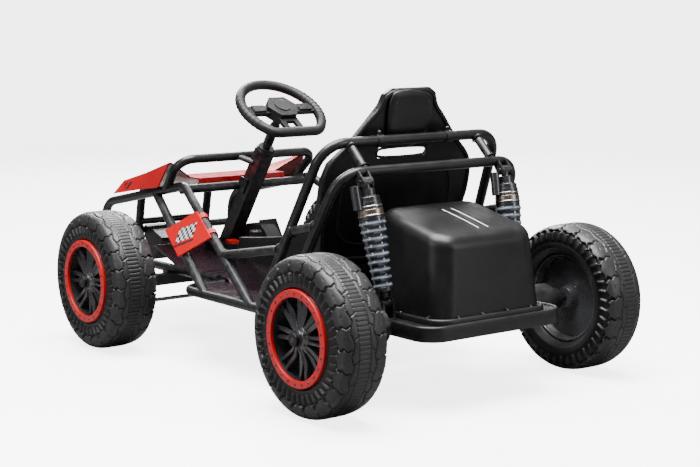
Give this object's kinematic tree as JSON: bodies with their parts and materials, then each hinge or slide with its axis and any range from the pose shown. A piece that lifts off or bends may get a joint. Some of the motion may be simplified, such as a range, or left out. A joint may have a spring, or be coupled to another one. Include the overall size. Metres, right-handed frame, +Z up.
{
  "type": "kart chassis",
  "caption": "Child's ride-on off-road go-kart with a welded tube frame, red hood, moulded seat, knobbly tyres, working steering and a sprung rear swing frame.",
  "frame": {"origin": "on the ground, midway along the length, on the centre plane", "axes": "+Z up, -Y is forward, +X is the vehicle's left"},
  "size_m": [0.87, 1.341, 0.64],
  "materials": {
    "tyre_black": "matte",
    "rim_grey": "gloss",
    "ring_red": "gloss",
    "frame_black": "satin",
    "body_red": "gloss",
    "moulded_black": "satin",
    "pan_plum": "gloss",
    "soft_black": "satin",
    "rim_grip": "matte",
    "horn_grey": "satin",
    "switch_red": "gloss",
    "bright_metal": "brushed",
    "shaft_steel": "satin",
    "shock_bronze": "satin",
    "shock_cover": "gloss",
    "motor_steel": "satin",
    "battery_case": "satin"
  },
  "bodies": {
    "chassis": {"column_housing": "frame_black", "console": "moulded_black", "floor_pan": "pan_plum", "frame_floor": "frame_black", "frame_hood_hoop": "frame_black", "frame_hoop_front": "frame_black", "frame_hoop_rear": "frame_black", "frame_nose": "frame_black", "frame_rail_left": "frame_black", "frame_rail_right": "frame_black", "frame_rear_braces": "frame_black", "frame_side_braces": "frame_black", "front_beam": "frame_black", "headrest_pad": "soft_black", "hood_shell": "body_red", "nose_panel": "moulded_black", "seat_back_pad": "soft_black", "seat_clamps": "moulded_black", "seat_cushion": "soft_black", "seat_shell": "moulded_black", "side_panel": "body_red", "steering_bushes": "moulded_black"},
    "steering": {"steering_shaft": "shaft_steel", "steering_hub": "moulded_black", "steering_rim": "rim_grip"},
    "horn_button": {"horn_button": "horn_grey"},
    "knuckle_left": {"knuckle_left": "frame_black"},
    "knuckle_right": {"knuckle_right": "frame_black"},
    "tie_rod": {"tie_rod": "bright_metal"},
    "wheel_front_left": {"wheel_front_left_tyre": "tyre_black", "wheel_front_left_rim": "rim_grey", "wheel_front_left_ring": "ring_red"},
    "wheel_front_right": {"wheel_front_right_tyre": "tyre_black", "wheel_front_right_rim": "rim_grey", "wheel_front_right_ring": "ring_red"},
    "wheel_rear_left": {"wheel_rear_left_tyre": "tyre_black", "wheel_rear_left_rim": "rim_grey", "wheel_rear_left_ring": "ring_red"},
    "wheel_rear_right": {"wheel_rear_right_tyre": "tyre_black", "wheel_rear_right_rim": "rim_grey", "wheel_rear_right_ring": "ring_red"},
    "rear_swing": {"swing_frame": "frame_black", "deck": "moulded_black", "motor_cover": "moulded_black", "battery": "battery_case", "gearbox_left": "moulded_black", "gearbox_right": "moulded_black", "drive_motors": "motor_steel", "rear_axle": "bright_metal", "rear_bolts": "bright_metal"},
    "shock_left_body": {"shock_left_body": "shock_bronze", "shock_left_spring": "shock_cover"},
    "shock_left_rod": {"shock_left_rod": "bright_metal"},
    "shock_right_body": {"shock_right_body": "shock_bronze", "shock_right_spring": "shock_cover"},
    "shock_right_rod": {"shock_right_rod": "bright_metal"},
    "throttle_pedal": {"throttle_pedal": "moulded_black"},
    "power_switch": {"power_switch": "switch_red"},
    "drive_knob": {"drive_knob": "moulded_black", "knob_band": "bright_metal"}
  },
  "joints": [
    {"name": "steering_column", "type": "hinge", "parent": "chassis", "child": "steering", "pos_m": [0, -0.2266, 0.4243], "axis": [0, 0.5678, 0.8231], "range_deg": [-44, 44]},
    {"name": "horn_press", "type": "slide", "parent": "steering", "child": "horn_button", "axis": [0, -0.5678, -0.8231], "range_m": [0, 0.002], "stiffness_N_per_m": 300},
    {"name": "steer_left", "type": "hinge", "parent": "chassis", "child": "knuckle_left", "pos_m": [0.285, -0.343, 0.165], "axis": [0, 0, 1], "range_deg": [-22, 22]},
    {"name": "steer_right", "type": "hinge", "parent": "chassis", "child": "knuckle_right", "pos_m": [-0.285, -0.343, 0.165], "axis": [0, 0, 1], "range_deg": [-22, 22]},
    {"name": "tie_rod_ball", "type": "hinge", "parent": "knuckle_left", "child": "tie_rod", "pos_m": [0.285, -0.4, 0.086], "axis": [0, 0, 1], "range_deg": [-22, 22]},
    {"name": "spin_front_left", "type": "hinge", "parent": "knuckle_left", "child": "wheel_front_left", "pos_m": [0.38, -0.343, 0.165], "axis": [1, 0, 0], "continuous": true},
    {"name": "spin_front_right", "type": "hinge", "parent": "knuckle_right", "child": "wheel_front_right", "pos_m": [-0.38, -0.343, 0.165], "axis": [1, 0, 0], "continuous": true},
    {"name": "spin_rear_left", "type": "hinge", "parent": "rear_swing", "child": "wheel_rear_left", "pos_m": [0.368, 0.51, 0.165], "axis": [1, 0, 0], "continuous": true},
    {"name": "spin_rear_right", "type": "hinge", "parent": "rear_swing", "child": "wheel_rear_right", "pos_m": [-0.368, 0.51, 0.165], "axis": [1, 0, 0], "continuous": true},
    {"name": "rear_suspension", "type": "hinge", "parent": "chassis", "child": "rear_swing", "pos_m": [0, 0.33, 0.16], "axis": [1, 0, 0], "range_deg": [-2, 4], "stiffness_Nm_per_rad": 4000, "springref_deg": -0.29},
    {"name": "shock_left_eye", "type": "hinge", "parent": "chassis", "child": "shock_left_body", "pos_m": [0.194, 0.452, 0.457], "axis": [1, 0, 0], "range_deg": [-0.214, 0.117]},
    {"name": "shock_left_stroke", "type": "slide", "parent": "shock_left_body", "child": "shock_left_rod", "axis": [0.0472, -0.2004, 0.9786], "range_m": [-0.00675, 0.01299], "deforming": ["shock_left_spring"]},
    {"name": "shock_right_eye", "type": "hinge", "parent": "chassis", "child": "shock_right_body", "pos_m": [-0.194, 0.452, 0.457], "axis": [1, 0, 0], "range_deg": [-0.214, 0.117]},
    {"name": "shock_right_stroke", "type": "slide", "parent": "shock_right_body", "child": "shock_right_rod", "axis": [-0.0472, -0.2004, 0.9786], "range_m": [-0.00675, 0.01299], "deforming": ["shock_right_spring"]},
    {"name": "throttle", "type": "hinge", "parent": "chassis", "child": "throttle_pedal", "pos_m": [-0.12, -0.316, 0.186], "axis": [1, 0, 0], "range_deg": [0, 14], "stiffness_Nm_per_rad": 0.8},
    {"name": "rocker", "type": "hinge", "parent": "chassis", "child": "power_switch", "pos_m": [0.018, -0.314, 0.2205], "axis": [1, 0, 0], "range_deg": [-5, 5]},
    {"name": "direction_select", "type": "hinge", "parent": "chassis", "child": "drive_knob", "pos_m": [0.012, -0.225, 0.24], "axis": [0, 0, 1], "range_deg": [-60, 60]}
  ],
  "couplings": [
    {"joint": "steer_left", "follows": "steering_column", "ratio": 0.5},
    {"joint": "steer_right", "follows": "steering_column", "ratio": 0.5},
    {"joint": "tie_rod_ball", "follows": "steering_column", "ratio": -0.5},
    {"joint": "shock_left_eye", "follows": "rear_suspension", "ratio": -0.04844},
    {"joint": "shock_left_stroke", "follows": "rear_suspension", "m_per_rad": 0.17891},
    {"joint": "shock_right_eye", "follows": "rear_suspension", "ratio": -0.04844},
    {"joint": "shock_right_stroke", "follows": "rear_suspension", "m_per_rad": 0.17891}
  ]
}
